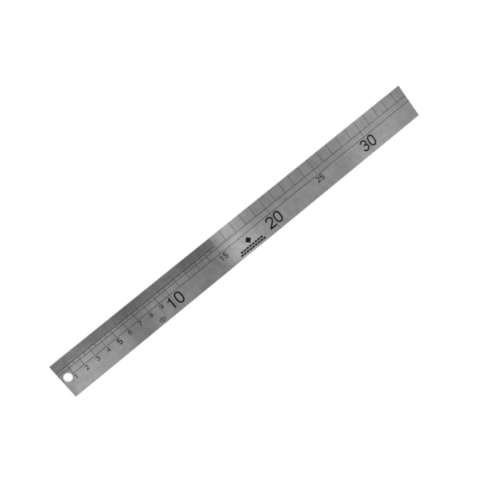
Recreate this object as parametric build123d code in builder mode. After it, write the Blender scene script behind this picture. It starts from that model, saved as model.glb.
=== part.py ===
from build123d import *
import math
import os

# Steel ruler: one strip of stainless steel, etched with a centimetre scale whose recesses
# hold black enamel. The origin is the centre of the back face. +X runs from the zero end to
# the far end, +Y points at the graduated edge, and +Z points out of the marked face.

# Blade
length = 350.0
width = 30.0
thickness = 1.0
corner_radius = 0.5
edge_break = 0.1
hole_diameter = 6.8
hole_inset = 5.0  # zero end to the hole's centre
hole_break = 0.1

# Etching and enamel
etch_depth = 0.1
enamel_dip = 0.02  # how far the enamel's surface lies below the face
edge_margin = 0.15  # bare metal between a mark and an edge of the blade
hole_margin = 0.35  # bare metal between a mark and the hole

# Graduations, with depths measured from the graduated edge
centimetre = 10.0
end_gap = 10.0  # last centimetre tick to the far end
fine_range = 150.0  # the stretch that is divided in millimetres
tick_width = 0.3
ten_line_width = 0.26
scale_line_width = 0.38
fine_depth = 7.7
main_depth = 10.0

# Numerals
numeral_gap = 1.0  # centre line to the top of every numeral
small_height = 4.0
medium_height = 5.0
large_foot_gap = 4.0  # foot of a large numeral to the plain edge
small_stroke = 0.58
medium_stroke = 0.84
large_stroke = 1.45

# Signs
sign_foot_gap = 1.9  # foot of each sign to the plain edge
oval_position = 84.5
oval_width = 5.0
oval_height = 3.6
oval_line = 0.55
oval_dot = 1.4
bricks_position = 173.7
bricks_height = 3.8
bricks_pitch = 2.8
long_row = 9  # bricks in the lower row; the upper row has one fewer
brick_gap = 0.5  # bare metal between two bricks
diamond_gap = 0.9  # bricks to diamond
diamond_top_gap = 1.6  # tops of the numerals to the diamond

# Places that follow from the driving sizes
centre_depth = width / 2
hole_x = hole_inset - length / 2
recess_floor = Plane.XY.offset(thickness - etch_depth)
enamel_height = etch_depth - enamel_dip
last_centimetre = int((length - end_gap) / centimetre + 1e-6)
fine_centimetres = int(min(fine_range, length - end_gap) / centimetre + 1e-6)
fine_end = fine_centimetres * centimetre
large_height = centre_depth - numeral_gap - large_foot_gap
numeral_top = -numeral_gap


def along(distance):
    """X of a mark that lies this far from the zero end."""
    return distance - length / 2


def inward(depth):
    """Y of a mark that lies this deep, measured from the graduated edge."""
    return width / 2 - depth


def bare_hole():
    """Clear the marks of the open sketch away from the hanging hole."""
    with Locations((hole_x, 0)):
        Circle(hole_diameter / 2 + hole_margin, mode=Mode.SUBTRACT)


def ticks(distances, depth, mark_width):
    """Ticks at these distances from the zero end, from the graduated edge to a depth."""
    with Locations(*[(along(distance), inward(edge_margin)) for distance in distances]):
        Rectangle(mark_width, depth - edge_margin, align=(Align.CENTER, Align.MAX))


# Numerals, drawn one unit high as strokes on their centre lines. Every digit stands on Y = 0
# and is centred on X = 0; its outline is clipped to its own box.
digit_widths = {
    "0": 0.65,
    "1": 0.357,
    "2": 0.666,
    "3": 0.65,
    "4": 0.69,
    "5": 0.668,
    "6": 0.66,
    "7": 0.673,
    "8": 0.65,
    "9": 0.66,
}
digit_space = 0.11  # bare metal between two digits
one_space = 0.285  # bare metal to the right of a 1
one_shift = 0.067  # a lone 1 stands this far left, as its stem is on its right


def oval(center_y, half_width, half_height, end_radius):
    """A closed oval of four tangent arcs, centred on X = 0."""
    rise = half_height - end_radius
    side_radius = (half_width**2 - end_radius**2 + rise**2) / (2 * (half_width - end_radius))
    shift = side_radius - half_width
    span = side_radius - end_radius
    joint = math.degrees(math.atan2(rise / span, shift / span))
    CenterArc((-shift, center_y), side_radius, -joint, 2 * joint)
    CenterArc((0, center_y + rise), end_radius, joint, 180 - 2 * joint)
    CenterArc((shift, center_y), side_radius, 180 - joint, 2 * joint)
    CenterArc((0, center_y - rise), end_radius, 180 + joint, 180 - 2 * joint)


def draw_zero(stroke, half, top, foot):
    with BuildSketch() as drawn:
        with BuildLine():
            oval(0.5, half, top - 0.5, 0.92 * half)
        trace(line_width=stroke)
    return drawn.sketch


def draw_one(stroke, half, top, foot):
    right = half + stroke / 2
    with BuildSketch() as drawn:
        with BuildLine():
            Polyline((-right, 0.81), (-right, 0.71), (right - stroke, 0.71), (right - stroke, 0))
            Polyline((right - stroke, 0), (right, 0), (right, 1), (right - 0.7 * stroke, 1))
            ThreePointArc((right - 0.7 * stroke, 1), (0.02, 0.86), (-right, 0.81))
        make_face()
    return drawn.sketch


def draw_two(stroke, half, top, foot):
    with BuildSketch() as drawn:
        with BuildLine():
            arc = CenterArc((0, top - half), half, -48, 218)
            Line(arc @ 0, (-0.29, foot))
        trace(line_width=stroke)
        with BuildLine():
            Line((-0.333, foot), (0.333, foot))
        trace(line_width=stroke)
    return drawn.sketch


def draw_three(stroke, half, top, foot):
    upper = half - 0.025
    with BuildSketch() as drawn:
        with BuildLine():
            CenterArc((0, top - upper), upper, -60, 225)
        trace(line_width=stroke)
        with BuildLine():
            CenterArc((0, foot + half), half, -165, 225)
        trace(line_width=stroke)
        with BuildLine():
            Line((-0.08, 0.525), (0.13, 0.525))
        trace(line_width=stroke)
    return drawn.sketch


def draw_four(stroke, half, top, foot):
    with BuildSketch() as drawn:
        with BuildLine():
            Line((0.16, 0), (0.16, 1))
        trace(line_width=stroke)
        with BuildLine():
            Line((-0.345, 0.285), (0.345, 0.285))
        trace(line_width=0.9 * stroke)
        with BuildLine():
            Line((-0.325, 0.26), (0.185, 1))
        trace(line_width=0.9 * stroke)
    return drawn.sketch


def draw_five(stroke, half, top, foot):
    with BuildSketch() as drawn:
        with BuildLine():
            CenterArc((0, foot + half), half, -165, 308)
        trace(line_width=stroke)
        with BuildLine():
            Polyline((0.29, top), (-0.19, top), (-0.25, 0.44))
        trace(line_width=0.95 * stroke)
    return drawn.sketch


def draw_six(stroke, half, top, foot):
    upper = half - 0.03
    with BuildSketch() as drawn:
        with BuildLine():
            oval(foot + half + 0.01, half, half + 0.01, half - 0.015)
        trace(line_width=stroke)
        with BuildLine():
            arc = CenterArc((0, top - upper), upper, 12, 148)
            TangentArc(arc @ 1, (-half, 0.34), tangent=arc % 1)
        trace(line_width=stroke)
    return drawn.sketch


def draw_seven(stroke, half, top, foot):
    with BuildSketch() as drawn:
        with BuildLine():
            Line((-0.3365, top), (0.3365, top))
        trace(line_width=stroke)
        with BuildLine():
            ThreePointArc((0.3, 0.92), (0.02, 0.5), (-0.1, -0.02))
        trace(line_width=stroke)
    return drawn.sketch


def draw_eight(stroke, half, top, foot):
    upper = half - 0.025
    with BuildSketch() as drawn:
        with BuildLine():
            oval(top - upper + 0.01, upper, upper - 0.01, upper + 0.005)
        trace(line_width=stroke)
        with BuildLine():
            oval(foot + half - 0.02, half, half - 0.02, half + 0.015)
        trace(line_width=stroke)
    return drawn.sketch


drawings = {
    "0": draw_zero,
    "1": draw_one,
    "2": draw_two,
    "3": draw_three,
    "4": draw_four,
    "5": draw_five,
    "6": draw_six,
    "7": draw_seven,
    "8": draw_eight,
    "9": draw_six,
}


def draw_digits(stroke):
    """Every digit as a face, with this stroke; the 9 is the 6 upside down."""
    digits = {}
    for character, draw in drawings.items():
        turned = character == "9"
        half = (digit_widths[character] - stroke) / 2
        with BuildSketch() as clipped:
            with Locations((0, 1 if turned else 0)):
                drawn = draw(stroke, half, 1 - stroke / 2, stroke / 2)
                add(drawn, rotation=180 if turned else 0)
            with Locations((0, 0.5)):
                Rectangle(digit_widths[character], 1, mode=Mode.INTERSECT)
        digits[character] = clipped.sketch
    return digits


def numeral(number, height, digits):
    """A number below its centimetre tick, centred on the tick, in the open sketch."""
    text = str(number)
    spaces = [one_space if character == "1" else digit_space for character in text[:-1]]
    total = sum(digit_widths[character] for character in text) + sum(spaces)
    left = -total / 2
    if len(text) == 2:
        left = -digit_widths[text[0]] - spaces[0] / 2
    if text == "1":
        left = -total / 2 - one_shift
    for character, space in zip(text, spaces + [0]):
        middle = left + digit_widths[character] / 2
        with Locations((along(number * centimetre) + middle * height, numeral_top - height)):
            add(scale(digits[character], height, mode=Mode.PRIVATE))
        left += digit_widths[character] + space


# Scale lines: they end the graduations and run lengthwise, clear of the hole.
with BuildSketch(recess_floor) as scale_marks:
    whole_length = length - 2 * edge_margin
    with Locations((along(edge_margin), inward(fine_depth))):
        fine_length = fine_end + tick_width / 2 - edge_margin
        Rectangle(fine_length, scale_line_width, align=(Align.MIN, Align.CENTER))
    with Locations((0, inward(main_depth)), (0, inward(centre_depth))):
        Rectangle(whole_length, scale_line_width)
    bare_hole()

# Ticks: each group is cut where it meets the scale lines, so that no enamel overlaps.
tick_steps = range(1, last_centimetre + 1)
ten_lines = [step * centimetre for step in tick_steps if step % 10 == 0]
long_ticks = [
    step * centimetre
    for step in tick_steps
    if step % 10 and (step <= fine_centimetres or step % 5 == 0)
]
short_ticks = [
    step * centimetre for step in tick_steps if step > fine_centimetres and step % 5
]
half_ticks = [(step - 0.5) * centimetre for step in range(1, fine_centimetres + 1)]
fine_ticks = [
    step * centimetre / 10 for step in range(1, 10 * fine_centimetres) if step % 5
]

with BuildSketch(recess_floor) as millimetre_marks:
    ticks(fine_ticks, fine_depth, tick_width)
    add(scale_marks.sketch_local, mode=Mode.SUBTRACT)
    bare_hole()

with BuildSketch(recess_floor) as half_centimetre_marks:
    ticks(half_ticks, main_depth, tick_width)
    add(scale_marks.sketch_local, mode=Mode.SUBTRACT)
    bare_hole()

with BuildSketch(recess_floor) as centimetre_marks:
    ticks(long_ticks, centre_depth, tick_width)
    ticks(short_ticks, main_depth, tick_width)
    add(scale_marks.sketch_local, mode=Mode.SUBTRACT)
    bare_hole()

with BuildSketch(recess_floor) as ten_centimetre_marks:
    ticks(ten_lines, width - edge_margin, ten_line_width)
    add(scale_marks.sketch_local, mode=Mode.SUBTRACT)

# Numerals
small_digits = draw_digits(small_stroke / small_height)
medium_digits = draw_digits(medium_stroke / medium_height)
large_digits = draw_digits(large_stroke / large_height)

with BuildSketch(recess_floor) as small_marks:
    for step in range(1, min(10, last_centimetre + 1)):
        if step != 5:
            numeral(step, small_height, small_digits)
    bare_hole()

with BuildSketch(recess_floor) as medium_marks:
    for step in tick_steps:
        if step % 10 == 5:
            numeral(step, medium_height, medium_digits)

with BuildSketch(recess_floor) as large_marks:
    for step in tick_steps:
        if step % 10 == 0:
            numeral(step, large_height, large_digits)

# Signs: an oval outline round a dot, two rows of bricks in bond, and a diamond above them
sign_foot = sign_foot_gap - width / 2
brick_length = bricks_pitch - brick_gap
brick_height = (bricks_height - brick_gap) / 2

with BuildSketch(recess_floor) as oval_marks:
    with Locations((along(oval_position), sign_foot + oval_height / 2)):
        Ellipse(oval_width / 2, oval_height / 2)
        Ellipse(oval_width / 2 - oval_line, oval_height / 2 - oval_line, mode=Mode.SUBTRACT)
        Circle(oval_dot / 2)

with BuildSketch(recess_floor) as brick_marks:
    for row, bricks in enumerate((long_row, long_row - 1)):
        row_y = sign_foot + brick_height / 2 + row * (brick_height + brick_gap)
        with Locations((along(bricks_position), row_y)):
            with GridLocations(bricks_pitch, 1, bricks, 1):
                Rectangle(brick_length, brick_height)

with BuildSketch(recess_floor) as diamond_marks:
    diamond_foot = sign_foot + bricks_height + diamond_gap
    diamond_top = numeral_top - diamond_top_gap
    with Locations((along(bricks_position), (diamond_foot + diamond_top) / 2)):
        RegularPolygon((diamond_top - diamond_foot) / 2, 4)

# Every group of marks, by the name of the enamel that fills it
groups = {
    "millimetre_ticks": millimetre_marks,
    "half_centimetre_ticks": half_centimetre_marks,
    "centimetre_ticks": centimetre_marks,
    "ten_centimetre_lines": ten_centimetre_marks,
    "scale_lines": scale_marks,
    "small_numerals": small_marks,
    "medium_numerals": medium_marks,
    "large_numerals": large_marks,
    "oval_sign": oval_marks,
    "brick_sign": brick_marks,
    "diamond_sign": diamond_marks,
}

os.makedirs("parts", exist_ok=True)

# The blade: a sheared strip with its edges broken, a drilled hole and the etched recesses
with BuildPart() as blade:
    with BuildSketch():
        Rectangle(length, width)
    extrude(amount=thickness)
    fillet(blade.edges().filter_by(Axis.Z), radius=corner_radius)
    back, front = blade.faces().filter_by(Axis.Z).sort_by(Axis.Z)
    chamfer(back.edges() + front.edges(), edge_break)
    with Locations((hole_x, 0)):
        Hole(hole_diameter / 2)
    circles = blade.edges().filter_by(GeomType.CIRCLE)
    chamfer(circles.filter_by(lambda rim: rim.radius > corner_radius), hole_break)
    for marks in groups.values():
        extrude(marks.sketch, amount=etch_depth, mode=Mode.SUBTRACT)
blade.part.label = "blade"
export_step(blade.part, "parts/blade.step")

# The enamel: it seats on the floor of each recess and stops just below the face.
for name, marks in groups.items():
    with BuildPart() as enamel:
        extrude(marks.sketch, amount=enamel_height)
    enamel.part.label = name
    export_step(enamel.part, f"parts/{name}.step")
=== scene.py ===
import math

import bpy
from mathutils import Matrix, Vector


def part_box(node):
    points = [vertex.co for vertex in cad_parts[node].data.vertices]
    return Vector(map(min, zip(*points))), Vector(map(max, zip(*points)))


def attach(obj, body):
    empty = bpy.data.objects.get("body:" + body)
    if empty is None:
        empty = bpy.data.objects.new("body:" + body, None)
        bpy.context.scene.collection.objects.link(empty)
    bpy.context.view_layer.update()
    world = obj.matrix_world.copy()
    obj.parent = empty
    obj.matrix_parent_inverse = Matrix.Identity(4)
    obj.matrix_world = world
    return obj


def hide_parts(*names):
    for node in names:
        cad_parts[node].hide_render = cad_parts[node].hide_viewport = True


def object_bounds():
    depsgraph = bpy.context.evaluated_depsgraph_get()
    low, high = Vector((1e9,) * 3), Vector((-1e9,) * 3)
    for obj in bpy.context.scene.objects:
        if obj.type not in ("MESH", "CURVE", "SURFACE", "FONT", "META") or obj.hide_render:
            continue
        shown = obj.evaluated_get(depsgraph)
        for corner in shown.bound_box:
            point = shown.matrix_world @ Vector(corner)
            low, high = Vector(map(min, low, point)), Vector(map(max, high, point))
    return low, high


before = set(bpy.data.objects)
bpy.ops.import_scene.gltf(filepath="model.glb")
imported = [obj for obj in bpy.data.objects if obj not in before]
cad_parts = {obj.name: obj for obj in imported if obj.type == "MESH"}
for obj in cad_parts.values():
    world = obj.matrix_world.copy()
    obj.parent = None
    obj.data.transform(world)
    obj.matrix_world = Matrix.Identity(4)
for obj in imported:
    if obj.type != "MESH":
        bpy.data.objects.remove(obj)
cad_low, cad_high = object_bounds()


# --- Camera -------------------------------------------------------------------------------
# A short lens, 0.32 m above the blade and almost straight over it. The blade runs from the
# lower left to the upper right, and its far end comes out a little smaller.
lens = bpy.data.cameras.new("camera")
lens.sensor_width = 36
lens.lens = 30.7
lens.clip_start = 0.005
camera = bpy.data.objects.new("camera", lens)
camera.location = (-0.0384, 0.0377, 0.3160)
camera.rotation_euler = [math.radians(angle) for angle in (-1.897, -8.922, -38.645)]
bpy.context.scene.collection.objects.link(camera)
bpy.context.scene.camera = camera
# The lens is slightly soft, and tones are shown as they are.
bpy.context.scene.cycles.filter_width = 1.8
bpy.context.scene.view_settings.view_transform = "Standard"


# --- Blade --------------------------------------------------------------------------------
# One strip of cold-rolled stainless steel, a millimetre thick, sheared to size and drilled
# for hanging. A belt has brushed its faces lengthwise, its edges are broken, and the scale
# is etched into its marked face. The CAD shape is right, so it only gets its finish here.
zero_end = cad_low.x


def linear(code):
    """A colour written as sRGB hex, as the linear values that a node takes."""
    parts = [int(code[place : place + 2], 16) / 255 for place in (1, 3, 5)]
    return [p / 12.92 if p <= 0.04045 else ((p + 0.055) / 1.055) ** 2.4 for p in parts] + [1]


def add_node(tree, kind, settings=None, **links):
    """Adds a node. Settings are its own properties. Links feed its inputs, by name or by
    number (_0, _1), with another node's output or with a value."""
    node = tree.nodes.new(kind)
    for name, value in (settings or {}).items():
        setattr(node, name, value)
    for name, value in links.items():
        key = int(name[1:]) if name[0] == "_" else name.replace("_", " ")
        if isinstance(value, bpy.types.NodeSocket):
            tree.links.new(value, node.inputs[key])
        else:
            node.inputs[key].default_value = value
    return node


def brushed_stainless_steel():
    """Austenitic stainless steel, belt-brushed to a satin finish: a neutral grey metal whose
    parallel lines smear each light across the blade and leave it crisp along the blade."""
    material = bpy.data.materials.new("brushed_stainless_steel")
    material.use_nodes = True
    tree = material.node_tree
    tree.nodes.clear()
    place = add_node(tree, "ShaderNodeTexCoord").outputs["Object"]

    # Brush lines lie some 0.05 mm apart, too fine to show. They are drawn 0.18 mm apart and
    # 25 mm long.
    grain_place = add_node(
        tree, "ShaderNodeMapping", Vector=place, Scale=(1 / 0.025, 1 / 0.00018, 1 / 0.00018)
    )
    grain = add_node(
        tree, "ShaderNodeTexNoise", Vector=grain_place.outputs[0], Scale=1.0, Detail=2.0
    )
    # Each pass of the belt leaves a band, 2.5 mm wide and 120 mm long.
    band_place = add_node(
        tree, "ShaderNodeMapping", Vector=place, Scale=(1 / 0.120, 1 / 0.0025, 1 / 0.0025)
    )
    bands = add_node(
        tree, "ShaderNodeTexNoise", Vector=band_place.outputs[0], Scale=1.0, Detail=2.0
    )
    # Hands leave smears some 20 mm across.
    smears = add_node(
        tree, "ShaderNodeTexNoise", Vector=place, Scale=1 / 0.020, Detail=4.0, Roughness=0.55
    )
    # The rolls and the belt press unevenly on so thin a strip, which leaves faint cloudy
    # patches, 4 mm along it and 8 mm across.
    cloud_place = add_node(
        tree, "ShaderNodeMapping", Vector=place, Scale=(1 / 0.004, 1 / 0.008, 1 / 0.008)
    )
    clouds = add_node(
        tree, "ShaderNodeTexNoise", Vector=cloud_place.outputs[0], Scale=1.0, Detail=2.0
    )
    # Hair scratches cross the grain at a few degrees. They are 0.1 mm wide, drawn 0.2 mm.
    scratch_place = add_node(
        tree,
        "ShaderNodeMapping",
        Vector=place,
        Rotation=(0, 0, math.radians(5)),
        Scale=(1 / 0.030, 1 / 0.0007, 1 / 0.0007),
    )
    scratch_noise = add_node(
        tree, "ShaderNodeTexNoise", Vector=scratch_place.outputs[0], Scale=1.0, Detail=0.0
    )
    scratches = add_node(
        tree,
        "ShaderNodeMapRange",
        Value=scratch_noise.outputs[0],
        From_Min=0.74,
        From_Max=0.80,
    )

    # The long edges are rubbed brighter and smoother, over about their last millimetre.
    across = add_node(tree, "ShaderNodeSeparateXYZ", Vector=place).outputs["Y"]
    distance = add_node(tree, "ShaderNodeMath", {"operation": "ABSOLUTE"}, _0=across)
    ragged = add_node(
        tree,
        "ShaderNodeMath",
        {"operation": "MULTIPLY_ADD"},
        _0=smears.outputs[0],
        _1=0.0012,
        _2=distance.outputs[0],
    )
    rubbed = add_node(
        tree,
        "ShaderNodeMapRange",
        {"interpolation_type": "SMOOTHSTEP"},
        Value=ragged.outputs[0],
        From_Min=cad_high.y - 0.0004,
        From_Max=cad_high.y + 0.0007,
    )

    # Painted shade: the steel's colour is darkened among the ticks, fading towards the plain
    # edge and twice as strong over the first 60 mm, standing in for darker reflections there.
    along_blade = add_node(tree, "ShaderNodeSeparateXYZ", Vector=place).outputs["X"]
    over_ticks = add_node(
        tree,
        "ShaderNodeMapRange",
        {"interpolation_type": "SMOOTHSTEP"},
        Value=across,
        From_Min=-0.006,
        From_Max=0.010,
    )
    near_zero = add_node(
        tree,
        "ShaderNodeMapRange",
        {"interpolation_type": "SMOOTHSTEP"},
        Value=along_blade,
        From_Min=zero_end + 0.050,
        From_Max=zero_end + 0.070,
        To_Min=0.20,
        To_Max=0.09,
    )
    # Painted shade: the corner by the hole is darkened further, as far as a slanting line,
    # standing in for a darker reflection there.
    slant = add_node(
        tree,
        "ShaderNodeMath",
        {"operation": "MULTIPLY_ADD"},
        _0=across,
        _1=-0.42,
        _2=along_blade,
    )
    # Painted shade: this mask darkens the corner by the hole up to the slanting line.
    painted_shade_by_hole = add_node(
        tree,
        "ShaderNodeMapRange",
        {"interpolation_type": "SMOOTHSTEP"},
        Value=slant.outputs[0],
        From_Min=zero_end + 0.0065,
        From_Max=zero_end + 0.0115,
        To_Min=0.14,
        To_Max=0.0,
    )
    # Painted shade: the darkening of the steel's colour, summed from the masks above.
    painted_shade = add_node(
        tree,
        "ShaderNodeMath",
        {"operation": "MULTIPLY_ADD"},
        _0=over_ticks.outputs[0],
        _1=near_zero.outputs[0],
        _2=painted_shade_by_hole.outputs[0],
    )

    # Colour: bands, smears and clouds shift the grey by a few percent and each brush line
    # by a little more, the painted shade darkens it, and rubbed edges are lighter.
    tone = add_node(
        tree,
        "ShaderNodeMix",
        {"data_type": "FLOAT"},
        _0=0.7,
        _2=bands.outputs[0],
        _3=smears.outputs[0],
    )
    lined = add_node(
        tree,
        "ShaderNodeMix",
        {"data_type": "FLOAT"},
        _0=0.6,
        _2=tone.outputs[0],
        _3=grain.outputs[0],
    )
    clouded = add_node(
        tree,
        "ShaderNodeMath",
        {"operation": "MULTIPLY_ADD"},
        _0=clouds.outputs[0],
        _1=0.4,
        _2=lined.outputs[0],
    )
    spread = add_node(
        tree, "ShaderNodeMapRange", Value=clouded.outputs[0], From_Min=0.50, From_Max=0.90
    )
    grey = add_node(
        tree,
        "ShaderNodeMix",
        {"data_type": "RGBA"},
        _0=spread.outputs[0],
        _6=linear("#B1B1B1"),
        _7=linear("#D6D6D6"),
    )
    # Painted shade: the grey is pulled towards dark grey by the painted shade mask.
    grey_with_painted_shade = add_node(
        tree,
        "ShaderNodeMix",
        {"data_type": "RGBA"},
        _0=painted_shade.outputs[0],
        _6=grey.outputs[2],
        _7=linear("#202020"),
    )
    colour = add_node(
        tree,
        "ShaderNodeMix",
        {"data_type": "RGBA"},
        _0=rubbed.outputs[0],
        _6=grey_with_painted_shade.outputs[2],
        _7=linear("#D4D4D4"),
    )

    # Roughness: 0.2 on the whole, lower on the edges, and higher in scratches and smears.
    uneven = add_node(
        tree,
        "ShaderNodeMapRange",
        Value=tone.outputs[0],
        From_Min=0.3,
        From_Max=0.7,
        To_Min=0.18,
        To_Max=0.23,
    )
    scratched = add_node(
        tree,
        "ShaderNodeMath",
        {"operation": "MULTIPLY_ADD"},
        _0=scratches.outputs[0],
        _1=0.08,
        _2=uneven.outputs[0],
    )
    smoother = add_node(
        tree,
        "ShaderNodeMath",
        {"operation": "MULTIPLY_ADD"},
        _0=rubbed.outputs[0],
        _1=-0.03,
        _2=scratched.outputs[0],
    )

    # The lines are cut 2 or 3 thousandths of a millimetre deep, and the scratches deeper.
    relief = add_node(
        tree,
        "ShaderNodeMath",
        {"operation": "MULTIPLY_ADD"},
        _0=scratches.outputs[0],
        _1=-0.5,
        _2=grain.outputs[0],
    )
    bump = add_node(
        tree, "ShaderNodeBump", Strength=0.5, Distance=0.00001, Height=relief.outputs[0]
    )

    # Every face is brushed lengthwise, so its highlights spread across that: along Y on the
    # faces and along Z on the long edges. The lines wander by a degree or so.
    facing = add_node(tree, "ShaderNodeNewGeometry").outputs["Normal"]
    spread_way = add_node(
        tree, "ShaderNodeVectorMath", {"operation": "CROSS_PRODUCT"}, _0=facing, _1=(1, 0, 0)
    )
    wander = add_node(
        tree,
        "ShaderNodeMapRange",
        Value=bands.outputs[0],
        From_Min=0.3,
        From_Max=0.7,
        To_Min=-0.02,
        To_Max=0.02,
    )
    lean = add_node(tree, "ShaderNodeCombineXYZ", X=wander.outputs[0], Y=0.02, Z=0.0)
    tangent = add_node(
        tree,
        "ShaderNodeVectorMath",
        {"operation": "ADD"},
        _0=spread_way.outputs[0],
        _1=lean.outputs[0],
    )

    metal = add_node(
        tree,
        "ShaderNodeBsdfPrincipled",
        Base_Color=colour.outputs[2],
        Metallic=1.0,
        Roughness=smoother.outputs[0],
        Anisotropic=1.0,
        Tangent=tangent.outputs[0],
        Normal=bump.outputs[0],
    )
    add_node(tree, "ShaderNodeOutputMaterial", Surface=metal.outputs[0])
    return material


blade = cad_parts["blade"]
blade.data.materials.clear()
blade.data.materials.append(brushed_stainless_steel())


# --- Enamel in the numerals, signs and scale lines ------------------------------------------
# Black enamel is rubbed into the etched recesses, wiped off the face and baked, so it lies
# 0.02 mm below the steel. These marks keep their CAD shapes, and get the finish.
def baked_black_enamel():
    """Baked enamel, wiped: near black and satin, a little greyer where it was wiped thin,
    with the fine ripple of a paint that has flowed."""
    material = bpy.data.materials.new("baked_black_enamel")
    material.use_nodes = True
    tree = material.node_tree
    tree.nodes.clear()
    place = add_node(tree, "ShaderNodeTexCoord").outputs["Object"]

    # Thin places are some 1.5 mm across.
    thin = add_node(tree, "ShaderNodeTexNoise", Vector=place, Scale=1 / 0.0015, Detail=3.0)
    wiped = add_node(
        tree, "ShaderNodeMapRange", Value=thin.outputs[0], From_Min=0.38, From_Max=0.66
    )
    colour = add_node(
        tree,
        "ShaderNodeMix",
        {"data_type": "RGBA"},
        _0=wiped.outputs[0],
        _6=linear("#060607"),
        _7=linear("#242425"),
    )
    gloss = add_node(
        tree, "ShaderNodeMapRange", Value=thin.outputs[0], To_Min=0.34, To_Max=0.56
    )
    # The ripple is 0.12 mm from crest to crest.
    ripple = add_node(tree, "ShaderNodeTexNoise", Vector=place, Scale=1 / 0.00012, Detail=1.0)
    bump = add_node(
        tree, "ShaderNodeBump", Strength=0.35, Distance=0.000006, Height=ripple.outputs[0]
    )
    paint = add_node(
        tree,
        "ShaderNodeBsdfPrincipled",
        Base_Color=colour.outputs[2],
        Roughness=gloss.outputs[0],
        IOR=1.5,
        Specular_IOR_Level=0.25,
        Normal=bump.outputs[0],
    )
    add_node(tree, "ShaderNodeOutputMaterial", Surface=paint.outputs[0])
    return material


enamel = baked_black_enamel()
for name in (
    "scale_lines",
    "small_numerals",
    "medium_numerals",
    "large_numerals",
    "oval_sign",
    "brick_sign",
    "diamond_sign",
):
    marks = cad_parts[name].data
    marks.materials.clear()
    marks.materials.append(enamel)


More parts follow.
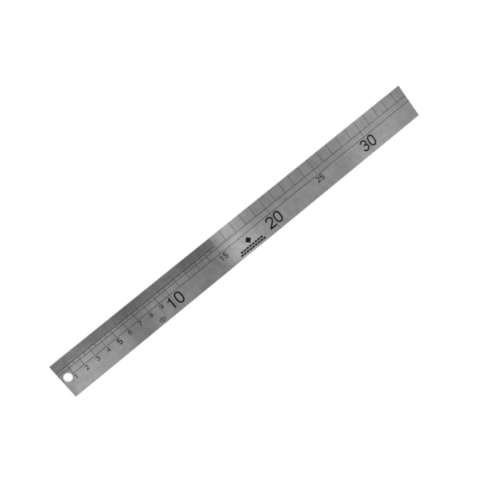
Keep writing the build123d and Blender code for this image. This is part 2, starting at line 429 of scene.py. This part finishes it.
# --- Graduations ----------------------------------------------------------------------------
# Every tick is a narrow bar of the same enamel in its own recess, cut short where a scale
# line crosses it. As enamel dries it shrinks, so each bar is dished, and no two are filled
# to quite the same height.
def enamel_row():
    """Geometry Nodes that add one row of like bars to the rows before it."""
    tree = bpy.data.node_groups.new("enamel_row", "GeometryNodeTree")
    for name, kind in (
        ("Rows", "NodeSocketGeometry"),
        ("First", "NodeSocketFloat"),
        ("Pitch", "NodeSocketFloat"),
        ("Count", "NodeSocketInt"),
        ("First Left Out", "NodeSocketInt"),
        ("Left Out Every", "NodeSocketInt"),
        ("Outer End", "NodeSocketFloat"),
        ("Inner End", "NodeSocketFloat"),
        ("Width", "NodeSocketFloat"),
        ("Recess Floor", "NodeSocketFloat"),
        ("Fill Height", "NodeSocketFloat"),
        ("Dish", "NodeSocketFloat"),
        ("Seed", "NodeSocketInt"),
        ("Enamel", "NodeSocketMaterial"),
    ):
        tree.interface.new_socket(name, in_out="INPUT", socket_type=kind)
    tree.interface.new_socket("Rows", in_out="OUTPUT", socket_type="NodeSocketGeometry")
    sizes = add_node(tree, "NodeGroupInput").outputs

    # A line of points, one for each bar, without those that belong to a longer tick
    long = add_node(
        tree,
        "ShaderNodeMath",
        {"operation": "SUBTRACT"},
        _0=sizes["Outer End"],
        _1=sizes["Inner End"],
    )
    middle = add_node(
        tree,
        "ShaderNodeMath",
        {"operation": "MULTIPLY_ADD"},
        _0=long.outputs[0],
        _1=0.5,
        _2=sizes["Inner End"],
    )
    centre_height = add_node(
        tree,
        "ShaderNodeMath",
        {"operation": "MULTIPLY_ADD"},
        _0=sizes["Fill Height"],
        _1=0.5,
        _2=sizes["Recess Floor"],
    )
    start = add_node(
        tree,
        "ShaderNodeCombineXYZ",
        X=sizes["First"],
        Y=middle.outputs[0],
        Z=centre_height.outputs[0],
    )
    step = add_node(tree, "ShaderNodeCombineXYZ", X=sizes["Pitch"])
    line = add_node(
        tree,
        "GeometryNodeMeshLine",
        {"mode": "OFFSET"},
        Count=sizes["Count"],
        Start_Location=start.outputs[0],
        Offset=step.outputs[0],
    )
    from_gap = add_node(
        tree,
        "ShaderNodeMath",
        {"operation": "SUBTRACT"},
        _0=add_node(tree, "GeometryNodeInputIndex").outputs[0],
        _1=sizes["First Left Out"],
    )
    turn = add_node(
        tree,
        "ShaderNodeMath",
        {"operation": "FLOORED_MODULO"},
        _0=from_gap.outputs[0],
        _1=sizes["Left Out Every"],
    )
    left_out = add_node(
        tree,
        "FunctionNodeCompare",
        {"data_type": "FLOAT", "operation": "LESS_THAN"},
        _0=turn.outputs[0],
        _1=0.5,
    )
    points = add_node(
        tree,
        "GeometryNodeDeleteGeometry",
        Geometry=line.outputs[0],
        Selection=left_out.outputs[0],
    )

    # One bar: 38 faces, with its top dished between its sides and its ends
    bar_size = add_node(
        tree,
        "ShaderNodeCombineXYZ",
        X=sizes["Width"],
        Y=long.outputs[0],
        Z=sizes["Fill Height"],
    )
    block = add_node(
        tree,
        "GeometryNodeMeshCube",
        Size=bar_size.outputs[0],
        Vertices_X=5,
        Vertices_Y=4,
        Vertices_Z=2,
    )
    spot = add_node(tree, "GeometryNodeInputPosition")
    share = add_node(
        tree,
        "ShaderNodeVectorMath",
        {"operation": "DIVIDE"},
        _0=spot.outputs[0],
        _1=bar_size.outputs[0],
    )
    shares = add_node(tree, "ShaderNodeSeparateXYZ", Vector=share.outputs[0])
    sideways = add_node(
        tree,
        "ShaderNodeMath",
        {"operation": "MULTIPLY"},
        _0=shares.outputs["X"],
        _1=shares.outputs["X"],
    )
    valley = add_node(
        tree,
        "ShaderNodeMath",
        {"operation": "MULTIPLY_ADD"},
        _0=sideways.outputs[0],
        _1=4.0,
        _2=-1.0,
    )
    endways = add_node(
        tree, "ShaderNodeMath", {"operation": "ABSOLUTE"}, _0=shares.outputs["Y"]
    )
    inside = add_node(
        tree,
        "FunctionNodeCompare",
        {"data_type": "FLOAT", "operation": "LESS_THAN"},
        _0=endways.outputs[0],
        _1=0.49,
    )
    sink = add_node(
        tree,
        "ShaderNodeMath",
        {"operation": "MULTIPLY"},
        _0=valley.outputs[0],
        _1=sizes["Dish"],
    )
    drop = add_node(tree, "ShaderNodeCombineXYZ", Z=sink.outputs[0])
    upper = add_node(
        tree,
        "FunctionNodeCompare",
        {"data_type": "FLOAT", "operation": "GREATER_THAN"},
        _0=shares.outputs["Z"],
        _1=0.0,
    )
    dished_part = add_node(
        tree,
        "FunctionNodeBooleanMath",
        {"operation": "AND"},
        _0=inside.outputs[0],
        _1=upper.outputs[0],
    )
    dished = add_node(
        tree,
        "GeometryNodeSetPosition",
        Geometry=block.outputs["Mesh"],
        Selection=dished_part.outputs[0],
        Offset=drop.outputs[0],
    )
    facing = add_node(
        tree,
        "ShaderNodeSeparateXYZ",
        Vector=add_node(tree, "GeometryNodeInputNormal").outputs[0],
    )
    on_top = add_node(
        tree,
        "FunctionNodeCompare",
        {"data_type": "FLOAT", "operation": "GREATER_THAN"},
        _0=facing.outputs["Z"],
        _1=0.5,
    )
    bar = add_node(
        tree,
        "GeometryNodeSetShadeSmooth",
        Geometry=dished.outputs[0],
        Selection=on_top.outputs[0],
    )

    # A bar on every point, each filled a little lower than full
    bars = add_node(
        tree,
        "GeometryNodeInstanceOnPoints",
        Points=points.outputs[0],
        Instance=bar.outputs[0],
    )
    shortfall = add_node(
        tree,
        "FunctionNodeRandomValue",
        {"data_type": "FLOAT"},
        _2=-0.000006,
        _3=0.0,
        Seed=sizes["Seed"],
    )
    settle = add_node(tree, "ShaderNodeCombineXYZ", Z=shortfall.outputs[1])
    settled = add_node(
        tree,
        "GeometryNodeTranslateInstances",
        Instances=bars.outputs[0],
        Translation=settle.outputs[0],
    )
    rows = add_node(tree, "GeometryNodeJoinGeometry")
    tree.links.new(settled.outputs[0], rows.inputs[0])
    tree.links.new(sizes["Rows"], rows.inputs[0])
    solid = add_node(tree, "GeometryNodeRealizeInstances", Geometry=rows.outputs[0])
    painted = add_node(
        tree,
        "GeometryNodeSetMaterial",
        Geometry=solid.outputs[0],
        Material=sizes["Enamel"],
    )
    add_node(tree, "NodeGroupOutput", Rows=painted.outputs[0])
    return tree


row_tree = enamel_row()
identifiers = {
    item.name: item.identifier
    for item in row_tree.interface.items_tree
    if item.in_out == "INPUT"
}


def graduations(name, node, width, seed, rows):
    """A plain mesh of enamel bars that stands for one CAD group of ticks. A row is its first
    tick in mm from the zero end, the pitch, the count, the first one left out and the step
    to the next one, and the Y of its outer and inner ends."""
    low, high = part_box(node)
    piece = bpy.data.objects.new(name, bpy.data.meshes.new(name))
    bpy.context.scene.collection.objects.link(piece)
    for number, (first, pitch, count, left_out, every, outer, inner) in enumerate(rows):
        modifier = piece.modifiers.new("row", "NODES")
        modifier.node_group = row_tree
        for key, value in {
            "First": zero_end + first / 1000,
            "Pitch": pitch / 1000,
            "Count": count,
            "First Left Out": left_out,
            "Left Out Every": every,
            "Outer End": outer,
            "Inner End": inner,
            "Width": width,
            "Recess Floor": low.z,
            "Fill Height": high.z - low.z,
            "Dish": 0.000012,
            "Seed": seed + number,
            "Enamel": enamel,
        }.items():
            modifier[identifiers[key]] = value
    seen = piece.evaluated_get(bpy.context.evaluated_depsgraph_get())
    mesh = bpy.data.meshes.new_from_object(seen)
    piece.modifiers.clear()
    piece.data = mesh
    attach(piece, "root")
    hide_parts(node)


fine_low, fine_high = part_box("millimetre_ticks")
# The lowest scale line runs along Y 0, so half of its width lies below that.
line_width = -2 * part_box("scale_lines")[0].y
# From the first millimetre tick's middle to the last one's is 148 mm, and a width more from
# side to side. The ten-centimetre lines span 200 mm in the same way.
tick_width = fine_high.x - fine_low.x - 0.148
ten_low, ten_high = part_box("ten_centimetre_lines")
ten_line_width = ten_high.x - ten_low.x - 0.200

# The Y of the two ends of each stretch between one scale line and the next
edge_stretch = (fine_high.y, fine_low.y)
main_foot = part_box("half_centimetre_ticks")[0].y
narrow_stretch = (fine_low.y - line_width, main_foot)
wide_edge_stretch = (fine_high.y, main_foot)
centre_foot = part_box("centimetre_ticks")[0].y
middle_stretch = (main_foot - line_width, centre_foot)
plain_stretch = (centre_foot - line_width, ten_low.y)

graduations(
    "millimetre_enamel",
    "millimetre_ticks",
    tick_width,
    1,
    [(1, 1, 149, 4, 5, *edge_stretch)],
)
graduations(
    "half_centimetre_enamel",
    "half_centimetre_ticks",
    tick_width,
    11,
    [(5, 10, 15, -1, 100, *edge_stretch), (5, 10, 15, -1, 100, *narrow_stretch)],
)
graduations(
    "centimetre_enamel",
    "centimetre_ticks",
    tick_width,
    21,
    [
        (10, 10, 15, 9, 10, *edge_stretch),
        (10, 10, 15, 9, 10, *narrow_stretch),
        (10, 10, 15, 9, 10, *middle_stretch),
        (160, 10, 19, 4, 10, *wide_edge_stretch),
        (250, 10, 1, -1, 100, *middle_stretch),
    ],
)
graduations(
    "ten_centimetre_enamel",
    "ten_centimetre_lines",
    ten_line_width,
    31,
    [
        (100, 100, 1, -1, 100, *edge_stretch),
        (100, 100, 1, -1, 100, *narrow_stretch),
        (200, 100, 2, -1, 100, *wide_edge_stretch),
        (100, 100, 3, -1, 100, *middle_stretch),
        (100, 100, 3, -1, 100, *plain_stretch),
    ],
)


# --- Floor ----------------------------------------------------------------------------------
# A light table: white acrylic that glows evenly from below, so that the blade stands clear
# on white. It is 6 m across and lies 0.1 mm below the blade, and the two never touch.
def opal_acrylic():
    """Opal acrylic sheet, lit from below: matt white, with a texture some 2 mm across."""
    material = bpy.data.materials.new("opal_acrylic")
    material.use_nodes = True
    tree = material.node_tree
    tree.nodes.clear()
    place = add_node(tree, "ShaderNodeTexCoord").outputs["Object"]
    texture = add_node(tree, "ShaderNodeTexNoise", Vector=place, Scale=1 / 0.002, Detail=2.0)
    colour = add_node(
        tree,
        "ShaderNodeMix",
        {"data_type": "RGBA"},
        _0=texture.outputs[0],
        _6=linear("#F2F2F2"),
        _7=linear("#F6F6F6"),
    )
    sheet = add_node(
        tree,
        "ShaderNodeBsdfPrincipled",
        Base_Color=colour.outputs[2],
        Roughness=0.9,
        IOR=1.49,
        Emission_Color=linear("#FFFFFF"),
        Emission_Strength=0.62,
    )
    add_node(tree, "ShaderNodeOutputMaterial", Surface=sheet.outputs[0])
    return material


floor_mesh = bpy.data.meshes.new("floor")
corners = [(-3, -3), (3, -3), (3, 3), (-3, 3)]
floor_mesh.from_pydata([(x, y, -0.0001) for x, y in corners], [], [(0, 1, 2, 3)])
floor_mesh.materials.append(opal_acrylic())
floor = bpy.data.objects.new("floor", floor_mesh)
bpy.context.scene.collection.objects.link(floor)


# --- Studio light ---------------------------------------------------------------------------
# A pale grey room, lightest at the horizon and darkest from 37 degrees above it, lights
# everything evenly. A row of ceiling panels makes the broad light and dark stretches that
# the brushed steel mirrors.
world = bpy.data.worlds.new("pale_grey_room")
world.use_nodes = True
room = world.node_tree
way = add_node(room, "ShaderNodeTexCoord").outputs["Object"]
rise = add_node(room, "ShaderNodeSeparateXYZ", Vector=way).outputs["Z"]
shade = add_node(
    room,
    "ShaderNodeMapRange",
    {"interpolation_type": "SMOOTHSTEP"},
    Value=rise,
    From_Min=0.0,
    From_Max=0.6,
    To_Min=0.9,
    To_Max=0.33,
)
room.links.new(shade.outputs[0], room.nodes["Background"].inputs["Strength"])
room.nodes["Background"].inputs["Color"].default_value = (1, 1, 1, 1)
bpy.context.scene.world = world

# A panel lies where one stretch of the blade, in mm from its zero end, mirrors it to the
# camera. It faces down, and is 1 m deep.
ceiling = 0.6
reach = ceiling / (camera.location.z - cad_high.z)
for number, (left, right, radiance) in enumerate(
    [
        (-12, 26, 0.36),
        (26, 57, 0.22),
        (78, 119, 0.11),
        (151, 158, 0.20),
        (158, 174, 0.49),
        (174, 184, 0.27),
        (184, 192, 0.15),
        (192, 284, 0.12),
        (284, 338, 0.27),
        (338, 360, 0.14),
    ]
):
    ends = [
        x + (x - camera.location.x) * reach
        for x in (zero_end + left / 1000, zero_end + right / 1000)
    ]
    light = bpy.data.lights.new(f"ceiling_panel_{number + 1}", "AREA")
    light.shape = "RECTANGLE"
    light.size = ends[1] - ends[0]
    light.size_y = 1.0
    light.energy = radiance * math.pi * light.size * light.size_y
    panel = bpy.data.objects.new(light.name, light)
    panel.location = (sum(ends) / 2, -camera.location.y * reach, ceiling)
    panel.visible_camera = False
    bpy.context.scene.collection.objects.link(panel)
